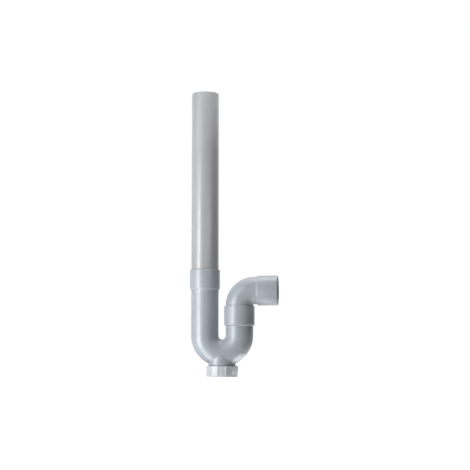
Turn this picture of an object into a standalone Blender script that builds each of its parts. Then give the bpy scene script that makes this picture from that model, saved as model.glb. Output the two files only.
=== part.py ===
"""Washing machine trap: a standpipe in a moulded U-bend with a clean-out cap and a swivelling outlet elbow.

Metres, +Z up. The origin is the centre of the clean-out cap's bottom face, +X points towards the outlet.
"""
import math

import bmesh
import bpy
from mathutils import Matrix, Vector

MM = 0.001

# Clearance between pieces that touch, how far a cutter runs past the face that it opens,
# and how far a form dips into the one that it joins.
FIT = 0.3 * MM
PAST = 1.0 * MM
SINK = 0.2 * MM

# Facets round each circle, in each bend, in each rounded rim, in each shoulder and in the neck's fillet.
ROUND = 48
U_STEPS = 24
ELBOW_STEPS = 12
RIM_STEPS = 2
SHOULDER_STEPS = 3
FILLET_STEPS = 3

# The largest share of a wall that an eased edge takes.
EDGE_SHARE = 0.45

# The 40 mm size that the standpipe, the trap's legs and the elbow's spigot share.
PIPE_R = 20.0 * MM

# Standpipe.
PIPE_WALL = 1.9 * MM
PIPE_LENGTH = 288.0 * MM
PIPE_EDGE = 0.25 * MM

# The trap's two legs and the U-bend between them.
TUBE_WALL = 2.2 * MM
LEG_GAP = 10.8 * MM
LEFT_LEG = 65.3 * MM
RIGHT_LEG = 14.3 * MM

# Inlet socket, at the top of the left leg.
INLET_WALL = 1.6 * MM
INLET_LENGTH = 27.4 * MM
INLET_SHOULDER = 3.8 * MM
INLET_RIM = 0.4 * MM

# Socket at the top of the right leg, which the elbow turns in.
TURN_WALL = 1.85 * MM
TURN_LENGTH = 27.9 * MM
TURN_SHOULDER = 1.2 * MM
TURN_RIM = 0.8 * MM

# Outlet elbow: the tight throat inside its bend, the short runs beside the bend, and its socket.
ELBOW_WALL = 2.0 * MM
ELBOW_THROAT = 1.6 * MM
ELBOW_RISE = 0.5 * MM
OUTLET_RUN = 4.3 * MM
OUTLET_WALL = 1.4 * MM
OUTLET_LENGTH = 29.1 * MM
OUTLET_SHOULDER = 1.5 * MM
OUTLET_RIM = 0.5 * MM

# Every socket: the floor behind the pipe's end and the lead-in at the mouth.
STOP_THICK = 1.4 * MM
LEAD_IN = 0.45 * MM

# Clean-out neck, a little slimmer than the bend, with the wider band that carries its thread
# and the rolled corner where its wall runs into the bend.
NECK_INSET = 0.2 * MM
NECK_WALL = 2.4 * MM
NECK_FILLET = 1.4 * MM
THREAD_STEP = 0.5 * MM
THREAD_LENGTH = 9.4 * MM
THREAD_LEAD = 0.6 * MM

# Clean-out cap with its grip ribs, and the space between its mouth and the bend above.
CAP_WALL = 2.35 * MM
CAP_HEIGHT = 15.8 * MM
CAP_FLOOR = 2.6 * MM
CAP_CHAMFER = 1.6 * MM
CAP_EDGE = 0.4 * MM
CAP_CLEAR = 2.55 * MM
RIB_COUNT = 12
RIB_HEIGHT = 0.95 * MM
RIB_BASE = 3.0 * MM
RIB_TOP = 1.7 * MM
RIB_FIRST_DEG = 21.0

# Flat rubber seal between the cap's floor and the neck's end.
SEAL_THICK = 2.0 * MM
SEAL_WIDTH = 3.0 * MM
SEAL_EDGE = 0.2 * MM

# Radii that follow from the sizes above.
BEND_R = PIPE_R + LEG_GAP / 2
TUBE_BORE_R = PIPE_R - TUBE_WALL
SOCKET_BORE_R = PIPE_R + FIT
ELBOW_BORE_R = PIPE_R - ELBOW_WALL
ELBOW_BEND_R = PIPE_R + ELBOW_THROAT
NECK_R = PIPE_R - NECK_INSET
NECK_BORE_R = NECK_R - NECK_WALL
THREAD_R = NECK_R + THREAD_STEP
CAP_BORE_R = THREAD_R + FIT
CAP_R = CAP_BORE_R + CAP_WALL

# Heights and places that follow from them.
LEFT_X = -BEND_R
RIGHT_X = BEND_R
SEAL_Z = CAP_FLOOR + FIT
NECK_END_Z = SEAL_Z + SEAL_THICK + FIT
BEND_Z = CAP_HEIGHT + math.sqrt((BEND_R + PIPE_R + CAP_CLEAR) ** 2 - CAP_BORE_R ** 2)
INLET_FOOT_Z = BEND_Z + LEFT_LEG + INLET_SHOULDER
PIPE_Z = INLET_FOOT_Z + STOP_THICK + FIT
TURN_FOOT_Z = BEND_Z + RIGHT_LEG + TURN_SHOULDER
TURN_MOUTH_Z = TURN_FOOT_Z + TURN_LENGTH
SPIGOT_Z = TURN_FOOT_Z + STOP_THICK + FIT
SPIGOT_LENGTH = TURN_MOUTH_Z + ELBOW_RISE - SPIGOT_Z

# Directions of travel along the tubes.
DOWN = Vector((0.0, 0.0, -1.0))
UP = Vector((0.0, 0.0, 1.0))
ALONG = Vector((1.0, 0.0, 0.0))


def clear_scene():
    """Remove every object, so that the file holds only the trap."""
    for item in list(bpy.data.objects):
        bpy.data.objects.remove(item, do_unlink=True)


def material(name, colour, roughness):
    """A plain plastic or rubber."""
    made = bpy.data.materials.new(name)
    made.use_nodes = True
    shader = made.node_tree.nodes["Principled BSDF"]
    shader.inputs["Base Color"].default_value = (*colour, 1.0)
    shader.inputs["Roughness"].default_value = roughness
    shader.inputs["Metallic"].default_value = 0.0
    made.diffuse_color = (*colour, 1.0)
    return made


def new_object(name, bm, finish=None, place=(0.0, 0.0, 0.0)):
    """Turn a bmesh into an object with smooth rounds and crisp corners."""
    bmesh.ops.recalc_face_normals(bm, faces=bm.faces)
    mesh = bpy.data.meshes.new(name)
    bm.to_mesh(mesh)
    bm.free()
    mesh.shade_smooth()
    mesh.set_sharp_from_angle(angle=math.radians(30.0))
    made = bpy.data.objects.new(name, mesh)
    made.location = place
    bpy.context.scene.collection.objects.link(made)
    if finish:
        mesh.materials.append(finish)
    return made


def combine(target, tool, operation):
    """Join or cut the target with a helper shape, which is then kept out of the render."""
    change = target.modifiers.new(tool.name, "BOOLEAN")
    change.operation = operation
    change.object = tool
    change.solver = "EXACT"
    tool.hide_render = True
    tool.display_type = "WIRE"
    tool.parent = target
    tool.matrix_parent_inverse = Matrix.Translation(target.location).inverted()


def ring(bm, centre, heading, radius):
    """A circle of vertices square to its heading, which lies in the XZ plane."""
    side = Vector((heading.z, 0.0, -heading.x))
    verts = []
    for step in range(ROUND):
        angle = 2.0 * math.pi * step / ROUND
        out = side * math.cos(angle) + Vector((0.0, math.sin(angle), 0.0))
        verts.append(bm.verts.new(centre + out * radius))
    return verts


def skin(bm, rows):
    """Join each row of vertices to the next with faces, and close both ends."""
    for near, far in zip(rows, rows[1:]):
        for step in range(ROUND):
            following = (step + 1) % ROUND
            bm.faces.new((near[step], near[following], far[following], far[step]))
    bm.faces.new(reversed(rows[0]))
    bm.faces.new(rows[-1])
    return bm


def loft(stations):
    """Skin the rings at the stations (centre, heading, radius)."""
    bm = bmesh.new()
    return skin(bm, [ring(bm, *station) for station in stations])


def turned(profile):
    """Spin a closed profile of (radius, height) points a full turn about the Z axis."""
    bm = bmesh.new()
    verts = [bm.verts.new((radius, 0.0, height)) for radius, height in profile]
    edges = [bm.edges.new(pair) for pair in zip(verts, verts[1:] + verts[:1])]
    bmesh.ops.spin(bm, geom=verts + edges, cent=(0, 0, 0), axis=(0, 0, 1), angle=2.0 * math.pi,
                   steps=ROUND, use_merge=True)
    bmesh.ops.remove_doubles(bm, verts=bm.verts, dist=0.001 * MM)
    return bm


def arc(centre, start_deg, end_deg, bend_r, radius, steps):
    """Stations round a bend in the XZ plane, leaving out the last one, where the straight part begins."""
    stations = []
    turn = math.copysign(1.0, end_deg - start_deg)
    for step in range(steps):
        angle = math.radians(start_deg + (end_deg - start_deg) * step / steps)
        out = Vector((math.cos(angle), 0.0, math.sin(angle)))
        heading = Vector((-out.z, 0.0, out.x)) * turn
        stations.append((centre + out * bend_r, heading, radius))
    return stations


def run(start, heading, steps):
    """Stations on a straight axis from (distance, radius) pairs."""
    return [(start + heading * distance, heading, radius) for distance, radius in steps]


def eased(edge, wall):
    """The size of a rounded or chamfered edge, limited by the wall that carries it."""
    return min(edge, EDGE_SHARE * wall)


def shoulder(foot, length, tube_r, socket_r):
    """Outer (distance, radius) pairs of the eased cone between a tube and its socket."""
    pairs = []
    for step in range(SHOULDER_STEPS + 1):
        share = step / SHOULDER_STEPS
        swell = share * share * (3.0 - 2.0 * share)
        pairs.append((foot + length * share, tube_r + (socket_r - tube_r) * swell))
    return pairs


def rounded_rim(mouth, radius, edge):
    """Outer (distance, radius) pairs of the quarter round at a socket's mouth."""
    pairs = []
    for step in range(RIM_STEPS + 1):
        angle = 0.5 * math.pi * step / RIM_STEPS
        pairs.append((mouth - edge + edge * math.sin(angle), radius - edge + edge * math.cos(angle)))
    return pairs


def socket_skin(foot, cone, length, wall, rim):
    """Outer (distance, radius) pairs of a socket whose shoulder starts at the distance foot."""
    radius = SOCKET_BORE_R + wall
    mouth = foot + cone + length
    return shoulder(foot, cone, PIPE_R, radius) + rounded_rim(mouth, radius, eased(rim, wall))


def socket_hollow(wide, length, tube_bore_r, wall):
    """Inner (distance, radius) pairs of a socket, from its stop out past its mouth."""
    stop = wide + STOP_THICK
    mouth = wide + length
    lead = eased(LEAD_IN, wall)
    return [(stop, tube_bore_r), (stop, SOCKET_BORE_R), (mouth - lead, SOCKET_BORE_R),
            (mouth + PAST, SOCKET_BORE_R + lead + PAST)]


def mirrored(pairs):
    """The same pairs for a run that comes down towards its start instead of leaving it."""
    return [(-distance, radius) for distance, radius in reversed(pairs)]


def u_path(left, right, radius):
    """Down the left leg, round the U-bend and up the right leg."""
    left_end = Vector((LEFT_X, 0.0, BEND_Z))
    right_end = Vector((RIGHT_X, 0.0, BEND_Z))
    bend = arc(Vector((0.0, 0.0, BEND_Z)), 180.0, 360.0, BEND_R, radius, U_STEPS)
    return run(left_end, DOWN, mirrored(left)) + bend + [(right_end, UP, radius)] + run(right_end, UP, right)


def trap_skin():
    """Outer surface of both legs, the U-bend and their sockets, as one closed solid."""
    left = socket_skin(LEFT_LEG, INLET_SHOULDER, INLET_LENGTH, INLET_WALL, INLET_RIM)
    right = socket_skin(RIGHT_LEG, TURN_SHOULDER, TURN_LENGTH, TURN_WALL, TURN_RIM)
    return loft(u_path(left, right, PIPE_R))


def trap_waterway():
    """The hollow through the sockets, the legs and the U-bend."""
    left = socket_hollow(LEFT_LEG + INLET_SHOULDER, INLET_LENGTH, TUBE_BORE_R, INLET_WALL)
    right = socket_hollow(RIGHT_LEG + TURN_SHOULDER, TURN_LENGTH, TUBE_BORE_R, TURN_WALL)
    return loft(u_path(left, right, TUBE_BORE_R))


def saddle(angle):
    """Height and slope of the bend's underside where the neck's wall meets it, at an angle round the neck."""
    across, beside = NECK_R * math.cos(angle), NECK_R * math.sin(angle)
    half_width = math.sqrt(PIPE_R ** 2 - beside ** 2)
    outer = BEND_R + half_width
    drop = math.sqrt(outer ** 2 - across ** 2)
    gradient = (outer * beside ** 2 / half_width + across ** 2) / (drop * NECK_R)
    return BEND_Z - drop, math.atan(gradient)


def fillet_row(bm, turned_share, dip=0.0):
    """Vertices along the rolled corner between neck and bend, each on the arc that touches both.

    The share is 0 where the arc leaves the neck's wall and 1 where it meets the bend.
    """
    verts = []
    for step in range(ROUND):
        angle = 2.0 * math.pi * step / ROUND
        corner, slope = saddle(angle)
        reach = NECK_FILLET / math.tan(0.25 * math.pi + 0.5 * slope)
        turn = math.pi - (0.5 * math.pi - slope) * turned_share
        radius = NECK_R + NECK_FILLET * (1.0 + math.cos(turn)) + dip * (math.cos(slope) - math.sin(slope))
        height = corner - reach + NECK_FILLET * math.sin(turn) + dip * (math.sin(slope) + math.cos(slope))
        verts.append(bm.verts.new((radius * math.cos(angle), radius * math.sin(angle), height)))
    return verts


def neck_skin():
    """The clean-out neck: the wider band that carries the thread, its wall, and the fillet into the bend."""
    band_top = NECK_END_Z + THREAD_LENGTH
    lead = eased(THREAD_LEAD, NECK_WALL)
    bm = bmesh.new()
    rows = [ring(bm, UP * height, UP, radius) for height, radius in (
        (NECK_END_Z, THREAD_R - lead), (NECK_END_Z + lead, THREAD_R), (band_top - THREAD_STEP, THREAD_R),
        (band_top, NECK_R))]
    rows += [fillet_row(bm, step / FILLET_STEPS) for step in range(FILLET_STEPS + 1)]
    rows.append(fillet_row(bm, 1.0, SINK))
    rows.append(ring(bm, UP * (BEND_Z - BEND_R), UP, NECK_BORE_R))
    return skin(bm, rows)


def neck_hollow():
    """The opening from the neck's end into the bend."""
    pairs = [(NECK_END_Z - PAST, NECK_BORE_R), (BEND_Z - BEND_R + PAST, NECK_BORE_R)]
    return loft(run(Vector(), UP, pairs))


def make_trap_body(finish):
    """One moulding: inlet socket, U-bend, right leg with its socket, and clean-out neck."""
    body = new_object("trap_body", trap_skin(), finish)
    combine(body, new_object("neck_form", neck_skin()), "UNION")
    combine(body, new_object("waterway_form", trap_waterway()), "DIFFERENCE")
    combine(body, new_object("neck_bore_form", neck_hollow()), "DIFFERENCE")
    return body


def tube_profile(inner, outer, length, edge):
    """Closed profile of a straight tube with eased edges at both ends."""
    return [(inner, edge), (inner + edge, 0.0), (outer - edge, 0.0), (outer, edge), (outer, length - edge),
            (outer - edge, length), (inner + edge, length), (inner, length - edge)]


def make_standpipe(finish):
    """A sawn length of pipe, standing on the stop of the inlet socket."""
    profile = tube_profile(PIPE_R - PIPE_WALL, PIPE_R, PIPE_LENGTH, eased(PIPE_EDGE, PIPE_WALL))
    return new_object("standpipe", turned(profile), finish, (LEFT_X, 0.0, PIPE_Z))


def elbow_path(spigot, socket, radius):
    """Up the spigot from its end, round the quarter bend and out along +X."""
    centre = UP * SPIGOT_LENGTH + ALONG * ELBOW_BEND_R
    bend = arc(centre, 180.0, 90.0, ELBOW_BEND_R, radius, ELBOW_STEPS)
    outlet = centre + UP * ELBOW_BEND_R
    return run(Vector(), UP, spigot) + bend + run(outlet, ALONG, [(0.0, radius)] + socket)


def elbow_skin():
    """Outer surface of the spigot, the quarter bend and the outlet socket."""
    edge = eased(PIPE_EDGE, ELBOW_WALL)
    socket = socket_skin(OUTLET_RUN, OUTLET_SHOULDER, OUTLET_LENGTH, OUTLET_WALL, OUTLET_RIM)
    return loft(elbow_path([(0.0, PIPE_R - edge), (edge, PIPE_R)], socket, PIPE_R))


def elbow_waterway():
    """The hollow from the spigot's end out through the outlet socket."""
    socket = socket_hollow(OUTLET_RUN + OUTLET_SHOULDER, OUTLET_LENGTH, ELBOW_BORE_R, OUTLET_WALL)
    return loft(elbow_path([(-PAST, ELBOW_BORE_R)], socket, ELBOW_BORE_R))


def make_outlet_elbow(finish):
    """The elbow, whose spigot turns in the right leg's socket; its origin is on that axis."""
    place = (RIGHT_X, 0.0, SPIGOT_Z)
    elbow = new_object("outlet_elbow", elbow_skin(), finish, place)
    combine(elbow, new_object("elbow_bore_form", elbow_waterway(), place=place), "DIFFERENCE")
    return elbow


def cap_cup():
    """Closed profile of the cap: chamfered foot, wall with eased mouth edges, bore and floor."""
    top = CAP_HEIGHT
    edge = eased(CAP_EDGE, CAP_WALL)
    return [(0.0, 0.0), (CAP_R - CAP_CHAMFER, 0.0), (CAP_R, CAP_CHAMFER), (CAP_R, top - edge),
            (CAP_R - edge, top), (CAP_BORE_R + edge, top), (CAP_BORE_R, top - edge),
            (CAP_BORE_R, CAP_FLOOR), (0.0, CAP_FLOOR)]


def rib(angle):
    """One grip rib: a wedge with sloping flanks, rooted inside the wall and sloped at both ends."""
    root = CAP_R - CAP_WALL / 2
    crest = CAP_R + RIB_HEIGHT
    outline = [(root, -RIB_BASE / 2), (CAP_R, -RIB_BASE / 2), (crest, -RIB_TOP / 2), (crest, RIB_TOP / 2),
               (CAP_R, RIB_BASE / 2), (root, RIB_BASE / 2)]
    bm = bmesh.new()
    lower = [bm.verts.new((x, y, CAP_CHAMFER + max(0.0, x - CAP_R))) for x, y in outline]
    upper = [bm.verts.new((x, y, CAP_HEIGHT - CAP_EDGE - max(0.0, x - CAP_R) / 2)) for x, y in outline]
    bm.faces.new(reversed(lower))
    bm.faces.new(upper)
    for step in range(len(outline)):
        following = (step + 1) % len(outline)
        bm.faces.new((lower[step], lower[following], upper[following], upper[step]))
    bmesh.ops.rotate(bm, verts=bm.verts, cent=(0, 0, 0), matrix=Matrix.Rotation(angle, 3, "Z"))
    return bm


def make_cleanout_cap(finish):
    """The screw cap with its ribs; the thread runs in the clearance between its bore and the neck."""
    cap = new_object("cleanout_cap", turned(cap_cup()), finish)
    for number in range(RIB_COUNT):
        angle = math.radians(RIB_FIRST_DEG + 360.0 * number / RIB_COUNT)
        combine(cap, new_object(f"rib_form_{number:02d}", rib(angle)), "UNION")
    return cap


def make_cap_seal(finish):
    """Flat ring in the cap's floor, under the neck's end."""
    outer = CAP_BORE_R - FIT
    profile = tube_profile(outer - SEAL_WIDTH, outer, SEAL_THICK, SEAL_EDGE)
    return new_object("cap_seal", turned(profile), finish, (0.0, 0.0, SEAL_Z))


def main():
    clear_scene()
    fitting = material("fitting_plastic", (0.37, 0.405, 0.445), 0.30)
    elbow = material("elbow_plastic", (0.40, 0.44, 0.485), 0.30)
    pipe = material("pipe_plastic", (0.385, 0.388, 0.40), 0.32)
    cap = material("cap_plastic", (0.57, 0.60, 0.64), 0.30)
    rubber = material("seal_rubber", (0.03, 0.03, 0.03), 0.70)
    make_trap_body(fitting)
    make_standpipe(pipe)
    make_outlet_elbow(elbow)
    make_cleanout_cap(cap)
    make_cap_seal(rubber)


main()
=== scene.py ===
# %% [markdown]
# # A washing machine trap in Blender
# A grey standpipe stands in a moulded U-bend, with an elbow on its short leg and a whitish screw cap under
# the bend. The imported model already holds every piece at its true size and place. Here each piece is modelled
# again with fine rims, fillets and threads, and then gets its finish.

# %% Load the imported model
import math

import bmesh
import bpy
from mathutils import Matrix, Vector


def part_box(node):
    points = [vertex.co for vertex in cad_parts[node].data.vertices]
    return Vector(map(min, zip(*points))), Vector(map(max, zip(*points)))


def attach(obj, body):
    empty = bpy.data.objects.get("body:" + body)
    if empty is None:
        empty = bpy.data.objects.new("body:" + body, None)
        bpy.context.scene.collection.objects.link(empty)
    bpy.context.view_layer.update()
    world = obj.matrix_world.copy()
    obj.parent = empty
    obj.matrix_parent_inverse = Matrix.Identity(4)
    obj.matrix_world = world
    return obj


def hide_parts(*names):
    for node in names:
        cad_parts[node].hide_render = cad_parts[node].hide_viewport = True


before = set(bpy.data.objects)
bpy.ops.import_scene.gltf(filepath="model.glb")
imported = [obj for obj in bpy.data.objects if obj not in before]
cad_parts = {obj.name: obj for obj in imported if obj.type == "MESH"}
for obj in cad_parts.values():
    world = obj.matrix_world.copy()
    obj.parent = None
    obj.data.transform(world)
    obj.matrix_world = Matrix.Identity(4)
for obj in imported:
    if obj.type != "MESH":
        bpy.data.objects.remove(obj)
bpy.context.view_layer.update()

# %% [markdown]
# ## Sizes
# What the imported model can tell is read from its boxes, so that the fine pieces land exactly on the plain
# ones. The few sizes that a box can't show, such as walls and edge rounds, are written beside the piece that
# needs them.

# %% Read the main sizes
MM = 0.001
UP, ALONG = Vector((0, 0, 1)), Vector((1, 0, 0))

pipe_low, pipe_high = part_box("standpipe")
trap_low, trap_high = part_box("trap_body")
elbow_low, elbow_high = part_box("outlet_elbow")
cap_low, cap_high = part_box("cleanout_cap")
seal_low, seal_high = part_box("cap_seal")

PIPE_R = (pipe_high.x - pipe_low.x) / 2
LEFT_X = (pipe_high.x + pipe_low.x) / 2
RIGHT_X = -LEFT_X
BEND_R = RIGHT_X
INLET_R = LEFT_X - trap_low.x
TURN_R = trap_high.x - RIGHT_X
OUTLET_R = (elbow_high.y - elbow_low.y) / 2
INLET_MOUTH_Z = trap_high.z
NECK_END_Z = trap_low.z
SPIGOT_Z = elbow_low.z
OUTLET_Z = elbow_high.z - OUTLET_R
OUTLET_MOUTH_X = elbow_high.x
CAP_TOP_Z = cap_high.z
print("pipe radius", round(PIPE_R / MM, 2), "mm, legs", round(2 * BEND_R / MM, 2), "mm apart")

# %% [markdown]
# ## Working by hand, in code
# Every tube here starts as one ring, which is pulled along its axis and changes its radius as it goes.
# Extrude and resize do both. Blender's operators act on whatever is selected, so the helpers start from a
# clean selection.

# %% Selection helpers
NEAR = 0.01 * MM


def deselect():
    """Leave nothing selected, so that an operator can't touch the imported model."""
    if bpy.context.object and bpy.context.object.mode != "OBJECT":
        bpy.ops.object.mode_set(mode="OBJECT")
    bpy.ops.object.select_all(action="DESELECT")


def make_active(piece):
    """Select one piece alone and make it the active one."""
    deselect()
    piece.select_set(True)
    bpy.context.view_layer.objects.active = piece


def select_all():
    """In edit mode, select the whole mesh."""
    bpy.ops.mesh.select_all(action="SELECT")


def select_where(test):
    """In edit mode, select exactly the vertices whose place passes the test."""
    bpy.ops.mesh.select_mode(type="VERT")
    shape = bmesh.from_edit_mesh(bpy.context.object.data)
    for part in (*shape.faces, *shape.edges, *shape.verts):
        part.select = False
    for vert in shape.verts:
        vert.select_set(bool(test(vert.co)))
    shape.select_flush(True)
    bmesh.update_edit_mesh(bpy.context.object.data)


def at_height(place, height):
    """Whether a place lies on the level at that height."""
    return abs(place.z - height) < NEAR


# %% Ring helpers
# Facets round a circle, and in the quarter round of an edge.
ROUND, ROUND_STEPS = 96, 5


def begin_piece(name):
    """Name the new primitive, bring its place into its mesh, and edit it with all of it selected."""
    piece = bpy.context.object
    piece.name = piece.data.name = name
    bpy.ops.object.transform_apply(location=True, rotation=True, scale=True)
    bpy.ops.object.mode_set(mode="EDIT")
    select_all()
    return piece


def start_ring(name, centre, radius):
    """Add a circle of edges as a new piece."""
    deselect()
    bpy.ops.mesh.primitive_circle_add(vertices=ROUND, radius=radius, location=centre)
    return begin_piece(name)


def pull_ring(origin, axis, stations):
    """Extrude the selected ring through (distance, radius) stations; the first one is where it is now."""
    here, radius = stations[0]
    for distance, new_radius in stations[1:]:
        bpy.ops.mesh.extrude_region_move(TRANSFORM_OT_translate={"value": axis * (distance - here)})
        swell = new_radius / radius
        size = [swell + (1.0 - swell) * abs(part) for part in axis]
        bpy.ops.transform.resize(value=size, center_override=origin + axis * distance)
        here, radius = distance, new_radius


def round_off(start, end, leaves_along):
    """Stations of a quarter round, which leaves start along the axis or square to it."""
    (near, near_r), (far, far_r) = start, end
    stations = []
    for step in range(1, ROUND_STEPS + 1):
        turn = 0.5 * math.pi * step / ROUND_STEPS
        first, second = math.sin(turn), 1.0 - math.cos(turn)
        along, across = (first, second) if leaves_along else (second, first)
        stations.append((near + (far - near) * along, near_r + (far_r - near_r) * across))
    return stations


# %% Finishing helpers
MERGE = 0.002 * MM


def count_open(mesh):
    """How many edges don't join exactly two faces; a closed solid has none."""
    shape = bmesh.new()
    shape.from_mesh(mesh)
    open_edges = sum(not edge.is_manifold for edge in shape.edges)
    shape.free()
    return open_edges


def close_shape():
    """Merge doubled points, point all faces outwards and go back to object mode."""
    select_all()
    bpy.ops.mesh.remove_doubles(threshold=MERGE)
    bpy.ops.mesh.normals_make_consistent(inside=False)
    bpy.ops.object.mode_set(mode="OBJECT")
    print(bpy.context.object.name, "is drawn with", count_open(bpy.context.object.data), "open edges")


def smooth_rounds(piece, degrees=35.0):
    """Shade the rounds smooth and keep corners over the angle crisp."""
    make_active(piece)
    bpy.ops.object.shade_smooth_by_angle(angle=math.radians(degrees))
    print(piece.name, "has", sum(len(face.vertices) - 2 for face in piece.data.polygons), "triangles")


# %% [markdown]
# ## The standpipe
# The tall pipe is a sawn length of extruded tube. It is one ring pulled up the outside, turned over the sawn
# end, pulled back down the bore and merged with where it began, so that the wall is real and the end can be
# seen into. A Solidify modifier would do for a plain tube, but it can't break the sawn edges.

# %% Model the standpipe
PIPE_EDGE, PIPE_WALL = 0.25 * MM, 1.9 * MM
PIPE_BORE_R = PIPE_R - PIPE_WALL


def end_over(far, outer_r, inner_r, outer_edge, inner_edge):
    """Stations over a tube's end: round the outer edge, cross the flat and round the inner edge."""
    return (round_off((far - outer_edge, outer_r), (far, outer_r - outer_edge), True)
            + [(far, inner_r + inner_edge)]
            + round_off((far, inner_r + inner_edge), (far - inner_edge, inner_r), False))


def foot_out(radius, edge):
    """Stations from the flat of a foot, round its edge and out to the wall."""
    return [(0, radius - edge)] + round_off((0, radius - edge), (edge, radius), False)


def foot_in(bore_r, radius, edge):
    """Stations from the bore, round its edge and across the foot to where the ring began."""
    return [(edge, bore_r)] + round_off((edge, bore_r), (0, bore_r + edge), True) + [(0, radius - edge)]


def make_standpipe():
    length = pipe_high.z - pipe_low.z
    foot = Vector((LEFT_X, 0, pipe_low.z))
    piece = start_ring("standpipe_tube", foot, PIPE_R - PIPE_EDGE)
    pull_ring(foot, UP, foot_out(PIPE_R, PIPE_EDGE) + [(length - PIPE_EDGE, PIPE_R)]
              + end_over(length, PIPE_R, PIPE_BORE_R, PIPE_EDGE, PIPE_EDGE)
              + foot_in(PIPE_BORE_R, PIPE_R, PIPE_EDGE))
    close_shape()
    smooth_rounds(piece)
    return piece


standpipe = make_standpipe()

# %% [markdown]
# ## The trap's moulding: skin and waterway
# The real body is one injection moulding: the inlet socket, the left leg, the U-bend, the right leg with its
# socket, and the clean-out neck. It is made as its mould makes it. One solid gives the outer skin, and a
# second one, the core, gives the waterway and is cut out of it. Both are the same U, drawn from one ring:
# pulled up the left leg, then spun round the bend from its first place and pulled up the right leg. The inlet
# socket grows out of its leg in an eased cone. The other socket ends in a square step with a chamfered edge,
# which catches the light from the table as a thin bright line. Both rims are chamfered too, and every chamfer
# is eased into the walls.

# %% Draw a U-shaped solid
BEND_Z = 59.1 * MM
BEND_STEPS = 64


def fill_ring():
    """Close the selected ring with one face."""
    bpy.ops.mesh.edge_face_add()


def u_solid(name, radius, left, right):
    """A closed U from the stations of its left and right legs."""
    left_end, right_end = Vector((LEFT_X, 0, BEND_Z)), Vector((RIGHT_X, 0, BEND_Z))
    piece = start_ring(name, left_end, radius)
    pull_ring(left_end, UP, [(0, radius)] + left)
    fill_ring()
    select_where(lambda place: at_height(place, BEND_Z) and place.x < 0)
    bpy.ops.mesh.spin(steps=BEND_STEPS, angle=math.pi, center=(0, 0, BEND_Z), axis=(0, 1, 0))
    pull_ring(right_end, UP, [(0, radius)] + right)
    fill_ring()
    close_shape()
    return piece


# %% Shape the sockets
SHOULDER_STEPS = 9
RIM_CHAMFER, CHAMFER_EASE = 0.9 * MM, 0.2 * MM
# The pipe's clearance, the stop's thickness, the lead-in's width and how far a hollow runs past the mouth.
FIT, STOP_THICK, LEAD_IN, PAST = 0.3 * MM, 1.4 * MM, 0.45 * MM, 1.0 * MM
TUBE_WALL = 2.2 * MM
SOCKET_BORE_R, TUBE_BORE_R = PIPE_R + FIT, PIPE_R - TUBE_WALL


def shoulder(foot, length, tube_r, socket_r):
    """Stations of the eased cone between a tube and its socket."""
    stations = []
    for step in range(SHOULDER_STEPS + 1):
        share = step / SHOULDER_STEPS
        swell = share * share * (3.0 - 2.0 * share)
        stations.append((foot + length * share, tube_r + (socket_r - tube_r) * swell))
    return stations


def eased_corner(before, corner, after):
    """Stations of a small round from one slope to the next, drawn as a curve through three points."""
    stations = []
    for step in range(ROUND_STEPS + 1):
        share = step / ROUND_STEPS
        weights = ((1.0 - share) ** 2, 2.0 * share * (1.0 - share), share ** 2)
        stations.append(tuple(sum(weight * part for weight, part in zip(weights, parts))
                              for parts in zip(before, corner, after)))
    return stations


def chamfered_step(foot, length, tube_r, socket_r):
    """Stations of a square step between a tube and its socket, its edge cut at 45 degrees and eased."""
    ease, slant = CHAMFER_EASE, CHAMFER_EASE * math.sqrt(0.5)
    low_r, top = socket_r - length, foot + length
    return ([(foot, tube_r)]
            + eased_corner((foot, low_r - ease), (foot, low_r), (foot + slant, low_r + slant))
            + eased_corner((top - slant, socket_r - slant), (top, socket_r), (top + ease, socket_r)))


def socket_skin(foot, cone, length, radius, widen):
    """Outer stations of a socket: its shoulder or step, the straight wall and the chamfered rim."""
    ease, slant = CHAMFER_EASE, CHAMFER_EASE * math.sqrt(0.5)
    mouth, low_r = foot + cone + length, radius - RIM_CHAMFER
    low = mouth - RIM_CHAMFER
    return (widen(foot, cone, PIPE_R, radius)
            + eased_corner((low - ease, radius), (low, radius), (low + slant, radius - slant))
            + eased_corner((mouth - slant, low_r + slant), (mouth, low_r), (mouth, low_r - ease)))


def socket_hollow(wide, length):
    """Inner stations of a socket: the step of its stop, its bore and its lead-in, out past the mouth."""
    stop, mouth = wide + STOP_THICK, wide + length
    return [(stop, TUBE_BORE_R), (stop, SOCKET_BORE_R), (mouth - LEAD_IN, SOCKET_BORE_R),
            (mouth + PAST, SOCKET_BORE_R + LEAD_IN + PAST)]


# %% Draw the skin and the waterway
TURN_MOUTH_Z = 102.5 * MM
INLET_LENGTH, INLET_SHOULDER = 27.4 * MM, 3.8 * MM
TURN_LENGTH, TURN_SHOULDER = 27.9 * MM, 1.2 * MM
LEFT_LEG = INLET_MOUTH_Z - INLET_LENGTH - INLET_SHOULDER - BEND_Z
RIGHT_LEG = TURN_MOUTH_Z - TURN_LENGTH - TURN_SHOULDER - BEND_Z

trap = u_solid("trap_moulding", PIPE_R,
               socket_skin(LEFT_LEG, INLET_SHOULDER, INLET_LENGTH, INLET_R, shoulder),
               socket_skin(RIGHT_LEG, TURN_SHOULDER, TURN_LENGTH, TURN_R, chamfered_step))
waterway = u_solid("waterway", TUBE_BORE_R, socket_hollow(LEFT_LEG + INLET_SHOULDER, INLET_LENGTH),
                   socket_hollow(RIGHT_LEG + TURN_SHOULDER, TURN_LENGTH))
print("skin and waterway drawn with", ROUND, "facets round the tube")

# %% [markdown]
# ## The clean-out neck and its rolled fillet
# Under the bend a short neck comes out of the tube. Where a cylinder meets a torus, the corner between them
# is sharp at the left and right and fades to nothing at the front, and on the moulding it is rolled with a
# small fillet. A Bevel modifier can't follow a corner that fades out. So the neck's top rings are placed by
# geometry: in each vertical slice the fillet is the arc that touches both the neck's wall and the bend's
# underside. Lower down, a narrow relief groove marks the top of the thread, and it shows as a thin dark line
# over the cap.

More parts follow.
